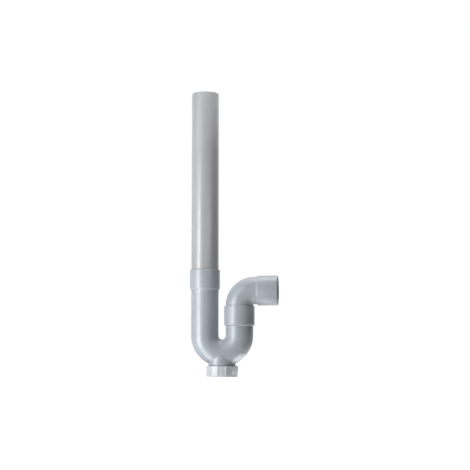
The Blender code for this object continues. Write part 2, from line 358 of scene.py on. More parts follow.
# %% Work out the fillet
NECK_INSET = 0.2 * MM
NECK_R = PIPE_R - NECK_INSET
FILLET_R = 1.4 * MM
FILLET_STEPS = 8
# How far the fillet sinks into the bend, and the step that measures a slope.
SINK, PROBE = 0.08 * MM, 0.02 * MM


def underside(rho, angle):
    """Height of the bend's underside over a place in the neck's plan."""
    x, y = rho * math.cos(angle), rho * math.sin(angle)
    reach = BEND_R + math.sqrt(max(PIPE_R ** 2 - y ** 2, 0.0))
    return BEND_Z - math.sqrt(reach ** 2 - x ** 2)


def fillet_point(angle, step):
    """(radius, height) on the fillet's arc in one slice; the step past the last one sinks into the bend."""
    corner = underside(NECK_R, angle)
    slope = math.atan((corner - underside(NECK_R - PROBE, angle)) / PROBE)
    reach = FILLET_R / math.tan((0.5 * math.pi + slope) / 2)
    centre = Vector((NECK_R + FILLET_R, corner - reach))
    sweep = 0.5 * math.pi - slope
    turn = math.pi - sweep * min(step, FILLET_STEPS) / FILLET_STEPS
    point = centre + FILLET_R * Vector((math.cos(turn), math.sin(turn)))
    if step > FILLET_STEPS:
        along = Vector((math.cos(slope), math.sin(slope)))
        inward = Vector((-math.sin(slope), math.cos(slope)))
        point += along * 3 * SINK + inward * SINK
    return point


# %% Model the neck
NECK_LEAD = 0.6 * MM
RELIEF_LOW, RELIEF_HIGH, RELIEF_DEPTH = 0.7 * MM, 1.0 * MM, 0.8 * MM
# The height between the fillet's rows while they wait, and how far the top lies inside the wall.
ROW, TOP_INSET = 0.1 * MM, 4.0 * MM


def make_neck():
    top, inside = BEND_Z - BEND_R, NECK_R - TOP_INSET
    piece = start_ring("neck", Vector((0, 0, NECK_END_Z)), NECK_R - NECK_LEAD)
    wall_top = underside(NECK_R, 0.0) - FILLET_R
    fillet_rows = [(wall_top + (step + 1) * ROW, NECK_R) for step in range(FILLET_STEPS + 2)]
    low, high, deep = CAP_TOP_Z - RELIEF_LOW, CAP_TOP_Z + RELIEF_HIGH, NECK_R - RELIEF_DEPTH
    relief = [(low, NECK_R), (low + RELIEF_DEPTH, deep), (high - RELIEF_DEPTH, deep), (high, NECK_R)]
    pull_ring(Vector(), UP, [(NECK_END_Z, NECK_R - NECK_LEAD), (NECK_END_Z + NECK_LEAD, NECK_R)] + relief
              + [(wall_top, NECK_R)] + fillet_rows + [(top, inside)])
    fill_ring()
    select_where(lambda place: at_height(place, NECK_END_Z))
    fill_ring()
    close_shape()
    for vert in piece.data.vertices:
        step = round((vert.co.z - wall_top) / ROW) - 1
        if 0 <= step <= FILLET_STEPS + 1 and vert.co.z < top - MM:
            angle = math.atan2(vert.co.y, vert.co.x)
            radius, height = fillet_point(angle, step)
            vert.co = (radius * math.cos(angle), radius * math.sin(angle), height)
    return piece


neck = make_neck()
print("fillet corner from", round(underside(NECK_R, 0) / MM, 1), "mm at the side to",
      round(underside(NECK_R, math.pi / 2) / MM, 1), "mm at the front")

# %% [markdown]
# ## Threads
# The cap screws on with a coarse right-hand thread, 4 mm from turn to turn. One ridge is a small quad with
# its crest narrowed, and a Screw modifier winds it up the axis. The same helper makes the neck's ridge, which
# stands out, and the cap's, which stands in, half a turn's pitch apart so that they mesh. Both ends run out
# smoothly.

# %% Wind a thread ridge
PITCH = 4.0 * MM
THREAD_STEPS = 72
# The side of the quad at its start, and the share of its root's height that the crest has.
QUAD, CREST = 2.0 * MM, 0.45
# The share of the ridge that runs out at each end, the least height there, and how deep its root sits.
RUN_OUT, LEAST, ROOTED = 0.12, 0.02, 0.25 * MM


def thread_ridge(name, root_r, crest_r, low, turns):
    """A helical ridge whose middle starts at height low, as a closed solid."""
    middle, rows = (root_r + crest_r) / 2, round(THREAD_STEPS * turns)
    outward = 1.0 if crest_r > root_r else -1.0
    deselect()
    bpy.ops.mesh.primitive_plane_add(size=QUAD, location=(middle, 0, low), rotation=(math.pi / 2, 0, 0))
    piece = begin_piece(name)
    bpy.ops.transform.resize(value=(abs(crest_r - root_r) / QUAD, 1, 1), center_override=(middle, 0, low))
    select_where(lambda place: (place.x - middle) * outward > 0)
    bpy.ops.transform.resize(value=(1, 1, CREST), center_override=(crest_r, 0, low))
    select_all()
    bpy.ops.mesh.delete(type="ONLY_FACE")
    bpy.ops.object.mode_set(mode="OBJECT")
    wind = piece.modifiers.new("wind", "SCREW")
    wind.axis, wind.angle, wind.screw_offset = "Z", 2 * math.pi * turns, PITCH * turns
    wind.steps = wind.render_steps = rows
    bpy.ops.object.modifier_apply(modifier="wind")
    for vert in piece.data.vertices:
        share = (vert.index // 4) / rows
        keep = min(1.0, share / RUN_OUT, (1.0 - share) / RUN_OUT)
        flat = vert.co.xy
        vert.co.xy = flat.normalized() * (root_r + (flat.length - root_r) * max(keep, LEAST))
    bpy.ops.object.mode_set(mode="EDIT")
    select_all()
    bpy.ops.mesh.fill_holes(sides=4)
    close_shape()
    return piece


# %% Join the neck, its thread and the skin, then cut the hollows
def apply_boolean(piece, tool, operation):
    """Join the tool to the piece or cut it away, clear the slivers that leaves, and delete the tool."""
    make_active(piece)
    change = piece.modifiers.new(tool.name, "BOOLEAN")
    change.operation, change.object, change.solver = operation, tool, "EXACT"
    bpy.ops.object.modifier_apply(modifier=change.name)
    bpy.ops.object.mode_set(mode="EDIT")
    select_all()
    bpy.ops.mesh.dissolve_degenerate(threshold=MERGE)
    bpy.ops.object.mode_set(mode="OBJECT")
    print(operation.lower(), "of", tool.name, "leaves", count_open(piece.data), "open edges in", piece.name)
    bpy.data.objects.remove(tool)


NECK_THREAD_R, NECK_THREAD_Z, NECK_TURNS = NECK_R + 0.95 * MM, NECK_END_Z + 1.6 * MM, 1.75
neck_ridge = thread_ridge("neck_ridge", NECK_R - ROOTED, NECK_THREAD_R, NECK_THREAD_Z, NECK_TURNS)
apply_boolean(neck, neck_ridge, "UNION")
apply_boolean(trap, neck, "UNION")
apply_boolean(trap, waterway, "DIFFERENCE")

NECK_WALL = 2.4 * MM
NECK_BORE_R = NECK_R - NECK_WALL
neck_bore = start_ring("neck_bore", Vector((0, 0, NECK_END_Z - PAST)), NECK_BORE_R)
fill_ring()
select_all()
pull_ring(Vector(), UP, [(NECK_END_Z - PAST, NECK_BORE_R), (BEND_Z - BEND_R + PAST, NECK_BORE_R)])
close_shape()
apply_boolean(trap, neck_bore, "DIFFERENCE")
smooth_rounds(trap)

# %% [markdown]
# ## The elbow
# The elbow turns in the trap's short leg, so the outlet can face where the waste pipe is. It is drawn as one
# long chain of rings: up the spigot, round the bend, out over the socket, over the rim and all the way back
# inside. Because the last ring lands on the first one, merging doubles closes the wall without any Boolean.

# %% Model the elbow
ELBOW_STEPS = 32
ELBOW_BEND_R, ELBOW_WALL = 21.6 * MM, 2.0 * MM
OUTLET_LENGTH, OUTLET_SHOULDER = 29.1 * MM, 1.5 * MM
ELBOW_BORE_R = PIPE_R - ELBOW_WALL
STEM_EDGE, OUTLET_RIM = 0.4 * MM, 0.5 * MM


def make_elbow():
    bend_z, bend_x = OUTLET_Z - ELBOW_BEND_R, RIGHT_X + ELBOW_BEND_R
    foot, hub = Vector((RIGHT_X, 0, SPIGOT_Z)), Vector((bend_x, 0, bend_z))
    outlet = Vector((0, 0, OUTLET_Z))
    stem = bend_z - SPIGOT_Z
    cone_x = OUTLET_MOUTH_X - OUTLET_LENGTH - OUTLET_SHOULDER
    stop_x = cone_x + OUTLET_SHOULDER + STOP_THICK
    piece = start_ring("swivel_elbow", foot, PIPE_R - STEM_EDGE)
    pull_ring(foot, UP, foot_out(PIPE_R, STEM_EDGE) + [(stem, PIPE_R)])
    bpy.ops.mesh.spin(steps=ELBOW_STEPS, angle=-0.5 * math.pi, center=hub, axis=(0, 1, 0))
    pull_ring(outlet, ALONG, [(bend_x, PIPE_R)] + shoulder(cone_x, OUTLET_SHOULDER, PIPE_R, OUTLET_R)
              + [(OUTLET_MOUTH_X - OUTLET_RIM, OUTLET_R)]
              + end_over(OUTLET_MOUTH_X, OUTLET_R, SOCKET_BORE_R, OUTLET_RIM, LEAD_IN)
              + [(stop_x, SOCKET_BORE_R), (stop_x, ELBOW_BORE_R), (bend_x, ELBOW_BORE_R)])
    bpy.ops.mesh.spin(steps=ELBOW_STEPS, angle=0.5 * math.pi, center=hub, axis=(0, 1, 0))
    pull_ring(foot, UP, [(stem, ELBOW_BORE_R)] + foot_in(ELBOW_BORE_R, PIPE_R, STEM_EDGE))
    close_shape()
    smooth_rounds(piece)
    return piece


elbow = make_elbow()

# %% [markdown]
# ## The clean-out cap
# Twelve ribs stand round the screw cap for the hand to grip. A rib repeats every 30 degrees, so only one
# sector is modelled: an arc of eight facets is pulled from the centre of the underside, up the wall, over the
# rim and down to the cap's floor, and its middle facets are raised into a rib. Spin then copies the sector
# round.

# %% Model one sector of the cap
CAP_CHAMFER, CAP_EDGE, CAP_FLOOR_Z = 1.6 * MM, 0.4 * MM, 2.6 * MM
CAP_R = NECK_R + 3.15 * MM
CAP_ROOT_R = NECK_R + 1.3 * MM
RIB_COUNT, RIB_HEIGHT, RIB_NARROW = 12, 0.95 * MM, 0.57
FACET = 2 * math.pi / ROUND
A_LITTLE = 0.1 * FACET
RIB_FIRST = math.radians(21)
RIB_END, RIB_SHORTER = 0.5 * MM, 1.2 * MM
RIB_FOOT_Z, RIB_TOP_Z = CAP_CHAMFER + RIB_END, CAP_TOP_Z - CAP_EDGE - RIB_END
GATE_DEPTH, GATE_INNER_R, GATE_OUTER_R = 0.3 * MM, 1.5 * MM, 1.9 * MM
POLE_R, FLOOR_EDGE = 0.5 * MM, 0.5 * MM


def cap_profile():
    """Stations from the underside's centre, up the wall and down again to the middle of the floor."""
    base = [(GATE_DEPTH, POLE_R), (GATE_DEPTH, GATE_INNER_R), (0, GATE_OUTER_R), (0, CAP_R - CAP_CHAMFER)]
    wall = [(CAP_CHAMFER, CAP_R), (RIB_FOOT_Z, CAP_R), (RIB_TOP_Z, CAP_R), (CAP_TOP_Z - CAP_EDGE, CAP_R)]
    rim = end_over(CAP_TOP_Z, CAP_R, CAP_ROOT_R, CAP_EDGE, CAP_EDGE)
    inside = [(CAP_FLOOR_Z + FLOOR_EDGE, CAP_ROOT_R), (CAP_FLOOR_Z, CAP_ROOT_R - FLOOR_EDGE),
              (CAP_FLOOR_Z, POLE_R)]
    return base + wall + rim + inside


def make_cap_sector():
    stations = cap_profile()
    piece = start_ring("screw_cap", Vector((0, 0, GATE_DEPTH)), stations[0][1])
    half, on_rib = math.pi / RIB_COUNT + A_LITTLE, FACET + A_LITTLE
    select_where(lambda place: abs(math.atan2(place.y, place.x)) > half)
    bpy.ops.mesh.delete(type="VERT")
    select_all()
    pull_ring(Vector(), UP, stations)
    select_where(lambda place: RIB_FOOT_Z - NEAR < place.z < RIB_TOP_Z + NEAR
                 and place.xy.length > CAP_R - NEAR and abs(math.atan2(place.y, place.x)) < on_rib)
    bpy.ops.mesh.extrude_region_move(TRANSFORM_OT_translate={"value": ALONG * RIB_HEIGHT})
    middle = (RIB_FOOT_Z + RIB_TOP_Z) / 2
    shorter = 1.0 - RIB_SHORTER / (RIB_TOP_Z - RIB_FOOT_Z)
    bpy.ops.transform.resize(value=(1, RIB_NARROW, shorter), center_override=(CAP_R, 0, middle))
    return piece


cap = make_cap_sector()

# %% Copy the sector round, close it and add the thread
SEAM = 0.005 * MM
SOFT_EDGE, SOFT_STEPS, SOFT_FROM = 0.22 * MM, 3, math.radians(24)
CAP_THREAD_R, CAP_THREAD_Z, CAP_TURNS = CAP_ROOT_R - 1.0 * MM, NECK_END_Z + 3.6 * MM, 1.25


def finish_cap():
    select_all()
    bpy.ops.mesh.spin(steps=RIB_COUNT, angle=2 * math.pi, dupli=True, center=(0, 0, 0), axis=(0, 0, 1))
    select_all()
    bpy.ops.mesh.remove_doubles(threshold=SEAM)
    for height in (GATE_DEPTH, CAP_FLOOR_Z):
        select_where(lambda place: at_height(place, height) and place.xy.length < POLE_R + NEAR)
        fill_ring()
    select_all()
    bpy.ops.transform.rotate(value=-RIB_FIRST, orient_axis="Z", center_override=(0, 0, 0))
    close_shape()
    soften = cap.modifiers.new("soften", "BEVEL")
    soften.width, soften.segments = SOFT_EDGE, SOFT_STEPS
    soften.limit_method, soften.angle_limit = "ANGLE", SOFT_FROM
    make_active(cap)
    bpy.ops.object.modifier_apply(modifier="soften")
    print("softened cap has", count_open(cap.data), "open edges")
    ridge = thread_ridge("cap_ridge", CAP_ROOT_R + ROOTED, CAP_THREAD_R, CAP_THREAD_Z, CAP_TURNS)
    apply_boolean(cap, ridge, "UNION")
    smooth_rounds(cap, 30.0)


finish_cap()

# %% [markdown]
# ## The seal
# A flat rubber ring lies in the cap's floor and the neck presses on it. It only shows when the cap is off,
# but it is made all the same: one ring pulled round a small rounded section, with the two shallow grooves
# that such a washer is moulded with in the face that seals.

# %% Model the seal
SEAL_WIDTH, SEAL_EDGE = 3.0 * MM, 0.25 * MM
GROOVE_DEPTH, GROOVE_MOUTH, GROOVE_FLOOR = 0.15 * MM, 0.22 * MM, 0.1 * MM
GROOVE_SHARES = (0.7, 0.4)


def make_seal():
    outer = (seal_high.x - seal_low.x) / 2
    inner = outer - SEAL_WIDTH
    thick, edge = seal_high.z - seal_low.z, SEAL_EDGE
    foot = Vector((0, 0, seal_low.z))
    piece = start_ring("rubber_washer", foot, outer - edge)
    stations = foot_out(outer, edge) + [(thick - edge, outer)]
    stations += round_off((thick - edge, outer), (thick, outer - edge), True)
    for share in GROOVE_SHARES:
        middle = inner + (outer - inner) * share
        stations += [(thick, middle + GROOVE_MOUTH), (thick - GROOVE_DEPTH, middle + GROOVE_FLOOR),
                     (thick - GROOVE_DEPTH, middle - GROOVE_FLOOR), (thick, middle - GROOVE_MOUTH)]
    stations += [(thick, inner + edge)] + round_off((thick, inner + edge), (thick - edge, inner), False)
    pull_ring(foot, UP, stations + foot_in(inner, outer, edge))
    close_shape()
    smooth_rounds(piece)
    return piece


seal = make_seal()

# %% [markdown]
# ## Onto the frame
# Each new piece takes the place of its plain one and rides on the same body. The trap carries the pipe, the
# seal moves down with the cap's thread, the cap turns as well, and the elbow swivels.

# %% Tell the frame what each piece stands for
for piece, node_name, body in (
        (trap, "trap_body", "trap"), (standpipe, "standpipe", "trap"), (elbow, "outlet_elbow", "outlet"),
        (cap, "cleanout_cap", "cap"), (seal, "cap_seal", "seal")):
    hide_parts(node_name)
    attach(piece, body)
    print(piece.name, "stands for", node_name, "and rides on", body)

# %% [markdown]
# ## Materials: a small kit of node groups
# All the plastic here is PVC or a close relative, so its pieces share some surface effects: soft flow marks
# from moulding, a fine grain, handling rubs, worn edges and a mould's parting line. Each effect is a node
# group, built once. A group only gives out masks and heights, and the shader stays in the material.

# %% Helpers for nodes
def add_node(tree, kind, options=None, inputs=None):
    """Add a node, set its options, and feed its inputs with plain values or with other nodes' outputs."""
    node = tree.nodes.new(kind)
    for name, value in (options or {}).items():
        setattr(node, name, value)
    for name, value in (inputs or {}).items():
        if isinstance(value, bpy.types.NodeSocket):
            tree.links.new(value, node.inputs[name])
        else:
            node.inputs[name].default_value = value
    return node


def calc(tree, operation, first, second=0.0, third=0.0):
    """One Math node's output."""
    numbers = {0: first, 1: second, 2: third}
    return add_node(tree, "ShaderNodeMath", {"operation": operation}, numbers).outputs[0]


def times(tree, first, second):
    """One value by another."""
    return calc(tree, "MULTIPLY", first, second)


def ramp(tree, value, low, high, to_low=0.0, to_high=1.0):
    """Spread a value's range from low to high smoothly over another range."""
    spread = {"Value": value, "From Min": low, "From Max": high, "To Min": to_low, "To Max": to_high}
    return add_node(tree, "ShaderNodeMapRange", {"interpolation_type": "SMOOTHSTEP"}, spread).outputs[0]


def noise(tree, place, scale, detail=2.0, rough=0.5, distort=0.0):
    """A noise texture's value."""
    return add_node(tree, "ShaderNodeTexNoise", {"noise_dimensions": "3D"},
                    {"Vector": place, "Scale": scale, "Detail": detail, "Roughness": rough,
                     "Distortion": distort}).outputs["Fac"]


def object_place(tree):
    """A point's place on the piece."""
    return add_node(tree, "ShaderNodeTexCoord").outputs["Object"]


def mapped(tree, place, **inputs):
    """A place that is moved, turned or stretched."""
    inputs["Vector"] = place
    return add_node(tree, "ShaderNodeMapping", {"vector_type": "POINT"}, inputs).outputs[0]


def axes_of(tree, place):
    """The X, Y and Z of a place."""
    return add_node(tree, "ShaderNodeSeparateXYZ", inputs={"Vector": place}).outputs


# %% Start a node group
def start_group(name, inputs, outputs):
    """A new shader node group with (name, type, default) inputs and (name, type) outputs."""
    group = bpy.data.node_groups.new(name, "ShaderNodeTree")
    for label, kind, default in inputs:
        socket = group.interface.new_socket(name=label, in_out="INPUT", socket_type=kind)
        socket.default_value = default
    for label, kind in outputs:
        group.interface.new_socket(name=label, in_out="OUTPUT", socket_type=kind)
    entry, leave = group.nodes.new("NodeGroupInput"), group.nodes.new("NodeGroupOutput")
    print("group", name, "gives", ", ".join(label for label, kind in outputs))
    return group, entry.outputs, leave.inputs


NUMBER, PLACE = "NodeSocketFloat", "NodeSocketVector"

# %% [markdown]
# ### Flow marks
# Melted plastic that fills a mould leaves very faint clouds and streaks. Two noises do it: a broad one,
# stretched the way the plastic ran, and a finer one that breaks it up. The stretch is an input, so one group
# serves all.

# %% Group for flow marks
def make_flow_marks():
    group, given, out = start_group("flow_marks", [("Stretch", PLACE, (1, 1, 0.35)), ("Size", NUMBER, 70.0)],
                                    [("Mask", NUMBER), ("Specks", NUMBER)])
    place = object_place(group)
    stretched = add_node(group, "ShaderNodeVectorMath", {"operation": "MULTIPLY"},
                         {0: place, 1: given["Stretch"]}).outputs[0]
    broad = noise(group, stretched, given["Size"], 3.0, 0.55, 0.6)
    fine = noise(group, stretched, times(group, given["Size"], 9.0), 4.0, 0.6)
    mixed = calc(group, "ADD", times(group, broad, 0.7), times(group, fine, 0.3))
    group.links.new(ramp(group, mixed, 0.36, 0.64), out["Mask"])
    specks = noise(group, place, 2600.0, 2.0, 0.5)
    group.links.new(ramp(group, specks, 0.68, 0.78), out["Specks"])
    return group


flow_marks = make_flow_marks()

# %% [markdown]
# ### Grain and rubs
# A moulded skin is never optically flat: a fine orange peel breaks up the edges of each reflection. On top
# come rubs from handling and from lying in a box, which are short, thin, and dull. The rubs are a stretched
# noise cut down to its crests and kept to patches by a second noise.

# %% Group for grain and rubs
def make_skin():
    group, given, out = start_group("skin_grain", [("Peel size", NUMBER, 900.0), ("Rub amount", NUMBER, 0.5)],
                                    [("Height", NUMBER), ("Rubs", NUMBER), ("Cloud", NUMBER)])
    place = object_place(group)
    peel = noise(group, place, given["Peel size"], 2.0, 0.5)
    pits = noise(group, place, times(group, given["Peel size"], 3.1), 1.0, 0.4)
    tilted = mapped(group, place, Rotation=(0.5, 0.35, 0.6), Scale=(1.0, 1.0, 0.05))
    crossed = mapped(group, place, Rotation=(-0.9, 1.1, 0.2), Scale=(0.05, 1.0, 1.0))
    first = ramp(group, noise(group, tilted, 1500.0, 1.0, 0.4), 0.66, 0.74)
    second = ramp(group, noise(group, crossed, 1300.0, 1.0, 0.4), 0.67, 0.75)
    patches = ramp(group, noise(group, place, 60.0, 3.0, 0.6), 0.45, 0.7)
    strokes = calc(group, "MAXIMUM", first, second)
    rubs = times(group, strokes, times(group, patches, given["Rub amount"]))
    group.links.new(rubs, out["Rubs"])
    height = calc(group, "ADD", times(group, peel, 0.75), times(group, pits, 0.25))
    group.links.new(calc(group, "SUBTRACT", height, times(group, rubs, 0.6)), out["Height"])
    group.links.new(noise(group, place, 38.0, 4.0, 0.6, 0.4), out["Cloud"])
    return group


skin_grain = make_skin()

# %% [markdown]
# ### Worn edges
# Rims and ribs rub against everything, so they end up paler and duller than the flats. Pointiness tells how
# sharp the mesh is at a point. A noise breaks the mask up, because real wear is never an even outline. The
# moulded plastics also use this mask for a painted highlight on their rims.

# %% Group for worn edges
def make_edge_wear():
    inputs = [("From", NUMBER, 0.53), ("To", NUMBER, 0.62), ("Break up", NUMBER, 0.6)]
    group, given, out = start_group("edge_wear", inputs, [("Mask", NUMBER)])
    place = object_place(group)
    pointed = add_node(group, "ShaderNodeNewGeometry").outputs["Pointiness"]
    sharp = ramp(group, pointed, given["From"], given["To"])
    patch = noise(group, place, 420.0, 3.0, 0.6)
    kept = calc(group, "SUBTRACT", 1.0, times(group, ramp(group, patch, 0.4, 0.62), given["Break up"]))
    group.links.new(times(group, sharp, kept), out["Mask"])
    return group


edge_wear = make_edge_wear()

# %% [markdown]
# ### The parting line
# The two halves of the fitting's mould meet in the plane of the U, so a hair-thin ridge runs over the whole
# moulding there. The group measures how far a point is from that plane and raises a narrow, slightly uneven
# line.

# %% Group for the parting line
def make_parting():
    group, given, out = start_group("parting_line", [("Half width", NUMBER, 0.12 * MM)], [("Line", NUMBER)])
    place = object_place(group)
    wander = times(group, calc(group, "SUBTRACT", noise(group, place, 150.0, 2.0), 0.5), 0.06 * MM)
    away = calc(group, "ABSOLUTE", calc(group, "ADD", axes_of(group, place)["Y"], wander))
    group.links.new(ramp(group, away, given["Half width"], 0.0), out["Line"])
    return group


parting_line = make_parting()

# %% [markdown]
# ## The fittings' grey PVC
# The bend and the elbow are moulded in the same bluish grey, semi-gloss PVC. Its colour hardly varies, so the
# flow marks and specks only shift it a little. The rims are made paler, partly from wear and partly as a
# painted highlight of the top light on their rounds. Most of the life comes from the roughness and from the
# fine grain in the highlight. One function makes both, with a slightly different tint for the elbow.

# %% Helpers for materials
PVC_IOR = 1.52
PEEL_STRENGTH, PEEL_DEPTH = 0.35, 0.03 * MM


def place_group(tree, group, inputs=None):
    """Place a node group and give its inputs their values."""
    return add_node(tree, "ShaderNodeGroup", {"node_tree": group}, inputs).outputs


def mix_colour(tree, share, first, second):
    """Mix two colours by a mask."""
    node = add_node(tree, "ShaderNodeMix", {"data_type": "RGBA"}, {"Factor": share})
    for socket, value in ((node.inputs[6], first), (node.inputs[7], second)):
        if isinstance(value, bpy.types.NodeSocket):
            tree.links.new(value, socket)
        else:
            socket.default_value = (*value, 1.0)
    return node.outputs[2]


def tint(tree, base, mask, share, colour):
    """Mix a colour over the base where the mask is, up to a share of it."""
    return mix_colour(tree, times(tree, mask, share), base, colour)


def shade(colour, amount):
    """The same colour, lighter or darker."""
    return tuple(part * amount for part in colour)


def start_material(name, ior):
    """A material with its Principled shader; what is even all over is set on the shader itself."""
    finish = bpy.data.materials.new(name)
    finish.use_nodes = True
    feed = finish.node_tree.nodes["Principled BSDF"].inputs
    feed["IOR"].default_value = ior
    print("material", name)
    return finish, finish.node_tree, feed


def feed_shader(tree, feed, base, dull, height, strength=PEEL_STRENGTH, depth=PEEL_DEPTH):
    """Give the shader its colour, its roughness, and a height as bump."""
    relief = {"Height": height, "Strength": strength, "Distance": depth}
    bump = add_node(tree, "ShaderNodeBump", inputs=relief)
    for value, socket in ((base, "Base Color"), (dull, "Roughness"), (bump.outputs["Normal"], "Normal")):
        tree.links.new(value, feed[socket])


# %% Make the fitting plastic
def painted_foot_light(tree, top):
    """A mask of painted light at a piece's foot, up to a height, broken up by a noise."""
    place = object_place(tree)
    low = ramp(tree, axes_of(tree, place)["Z"], 0.8 * top, top, 1.0, 0.0)
    return times(tree, low, ramp(tree, noise(tree, place, 500.0, 3.0, 0.6), 0.3, 0.6, 0.7, 1.0))


def moulded_plastic(name, colour, rough, stretch, wear=(0.53, 0.62), parting=True, foot_light_to=None):
    """Semi-gloss plastic: flow marks, grain, rubs, worn edges with painted highlight, a parting line or painted
    foot light.
    """
    finish, tree, feed = start_material(name, PVC_IOR)
    flow = place_group(tree, flow_marks, {"Stretch": stretch})
    skin = place_group(tree, skin_grain, {"Rub amount": 0.7})
    worn = place_group(tree, edge_wear, {"From": wear[0], "To": wear[1]})["Mask"]
    base = mix_colour(tree, flow["Mask"], shade(colour, 0.985), shade(colour, 1.015))
    base = tint(tree, base, flow["Specks"], 0.25, shade(colour, 0.8))
    # Painted light: where the white table lights the foot's chamfer from below, it is made paler here.
    if foot_light_to:
        worn = calc(tree, "MAXIMUM", worn, painted_foot_light(tree, foot_light_to))
    # Rims are made paler, partly as wear and partly as a painted highlight of the top light on their rounds.
    base = tint(tree, base, worn, 0.55, shade(colour, 1.35))
    base = tint(tree, base, skin["Rubs"], 0.25, shade(colour, 1.15))
    dull = calc(tree, "ADD", ramp(tree, skin["Cloud"], 0.3, 0.7, rough - 0.015, rough + 0.025),
                times(tree, calc(tree, "MAXIMUM", skin["Rubs"], worn), 0.12))
    height = skin["Height"]
    if parting:
        line = place_group(tree, parting_line)["Line"]
        height = calc(tree, "ADD", height, times(tree, line, 2.2))
    feed_shader(tree, feed, base, dull, height)
    return finish


fitting_plastic = moulded_plastic("grey_fitting_pvc", (0.348, 0.383, 0.421), 0.36, (1, 1, 0.4))
elbow_plastic = moulded_plastic("grey_elbow_pvc", (0.339, 0.372, 0.408), 0.35, (0.4, 1, 0.6))

# %% [markdown]
# ## The cap's paler plastic
# The cap is a different moulding in a whitish grey, a little duller, and its ribs are the part that hands
# wear. The same recipe serves, with its own colour, stretch and a wider range of wear. The chamfer at its foot
# is painted paler as well, as painted light that the white table throws up at it: the mask there is height,
# broken up by a noise.

# %% Make the cap plastic
# The cap's foot gets the painted light from the table.
cap_plastic = moulded_plastic("pale_cap_plastic", (0.54, 0.57, 0.61), 0.40, (1, 1, 0.8), wear=(0.52, 0.6),
                              parting=False, foot_light_to=CAP_CHAMFER)

# %% [markdown]
# ## The standpipe's extruded PVC
# The pipe came out of a die, not a mould. The die leaves fine lines along its whole length, so the pattern
# reads the angle round the pipe and hardly changes with height. Its top was sawn: there the skin is gone, the
# plastic is paler and dull, and the saw left straight marks across.

# %% Make the pipe plastic
SAWN_SKIN = 0.1 * MM


def pipe_plastic_material():
    colour, rough = (0.362, 0.365, 0.376), 0.32
    finish, tree, feed = start_material("grey_pipe_pvc", PVC_IOR)
    place = object_place(tree)
    axes = axes_of(tree, mapped(tree, place, Location=(-LEFT_X, 0, 0)))
    turn = calc(tree, "ABSOLUTE", calc(tree, "ARCTAN2", axes["Y"], axes["X"]))
    die_place = add_node(tree, "ShaderNodeCombineXYZ", inputs={
        "X": times(tree, turn, 20.0), "Y": calc(tree, "GREATER_THAN", axes["Y"], 0.0),
        "Z": times(tree, axes["Z"], 1.2)}).outputs[0]
    lines = noise(tree, die_place, 2.4, 6.0, 0.75)
    hairs = noise(tree, die_place, 9.0, 3.0, 0.6)
    flow = place_group(tree, flow_marks, {"Stretch": (1, 1, 0.12), "Size": 60.0})
    skin = place_group(tree, skin_grain, {"Peel size": 1400.0, "Rub amount": 0.9})
    worn = place_group(tree, edge_wear, {"From": 0.52, "To": 0.6})["Mask"]
    sawn = calc(tree, "GREATER_THAN", axes["Z"], pipe_high.z - SAWN_SKIN)
    saw_place = mapped(tree, place, Rotation=(0, 0, 0.5), Scale=(1.0, 0.06, 1.0))
    saw_marks = noise(tree, saw_place, 2200.0, 2.0, 0.6)
    base = mix_colour(tree, ramp(tree, lines, 0.3, 0.7), shade(colour, 0.965), shade(colour, 1.03))
    base = tint(tree, base, flow["Mask"], 0.5, shade(colour, 1.03))
    base = tint(tree, base, flow["Specks"], 0.2, shade(colour, 0.8))
    rubbed = calc(tree, "MAXIMUM", worn, skin["Rubs"])
    base = tint(tree, base, rubbed, 0.35, shade(colour, 1.22))
    cut_face = mix_colour(tree, ramp(tree, saw_marks, 0.3, 0.7), shade(colour, 1.2), shade(colour, 1.5))
    base = mix_colour(tree, sawn, base, cut_face)
    dull = calc(tree, "ADD", ramp(tree, skin["Cloud"], 0.3, 0.7, rough - 0.02, rough + 0.02),
                times(tree, calc(tree, "MAXIMUM", rubbed, sawn), 0.16))
    dull = calc(tree, "ADD", dull, ramp(tree, hairs, 0.4, 0.7, -0.01, 0.02))
    height = calc(tree, "ADD", times(tree, skin["Height"], 0.5), times(tree, lines, 1.6))
    height = calc(tree, "ADD", height, times(tree, times(tree, saw_marks, sawn), 4.0))
    feed_shader(tree, feed, base, dull, height)
    return finish


pipe_plastic = pipe_plastic_material()

# %% [markdown]
# ## The seal's rubber
# Black rubber, dull, with a talc bloom in patches and a grain that scatters nearly all reflection.

# %% Make the rubber
RUBBER_IOR = 1.5
GRAIN_STRENGTH, GRAIN_DEPTH = 0.6, 0.05 * MM


def rubber_material():
    finish, tree, feed = start_material("black_seal_rubber", RUBBER_IOR)
    flow = place_group(tree, flow_marks, {"Stretch": (1, 1, 1), "Size": 160.0})
    skin = place_group(tree, skin_grain, {"Peel size": 2200.0, "Rub amount": 0.4})
    worn = place_group(tree, edge_wear)["Mask"]
    base = mix_colour(tree, flow["Mask"], (0.018, 0.018, 0.019), (0.034, 0.034, 0.035))
    base = tint(tree, base, worn, 0.4, (0.07, 0.07, 0.07))
    dull = ramp(tree, skin["Cloud"], 0.3, 0.7, 0.62, 0.8)
    feed_shader(tree, feed, base, dull, skin["Height"], GRAIN_STRENGTH, GRAIN_DEPTH)
    return finish


seal_rubber = rubber_material()

# %% Give each piece its finish
for piece, finish, slot_name in (
        (trap, fitting_plastic, "fitting_plastic"), (elbow, elbow_plastic, "elbow_plastic"),
        (standpipe, pipe_plastic, "pipe_plastic"), (cap, cap_plastic, "cap_plastic"),
        (seal, seal_rubber, "seal_rubber")):
    piece.data.materials.clear()
    piece.data.materials.append(finish)
    print(piece.name, "wears", finish.name)

# %% [markdown]
# ## Floor and backdrop
# The photograph is a plain white studio shot. The floor is a large pale plane just under the cap. Camera rays
# see it lifted to white, while it still takes the part's soft shadow. The part's gloss sees about a quarter
# of that lift, because a full white table would wash out the dark sides. The world is white to the camera,
# and to the gloss where a studio sweep rises behind and curves over the set, but it is dim as a light, so
# that the lamps alone shape the part.

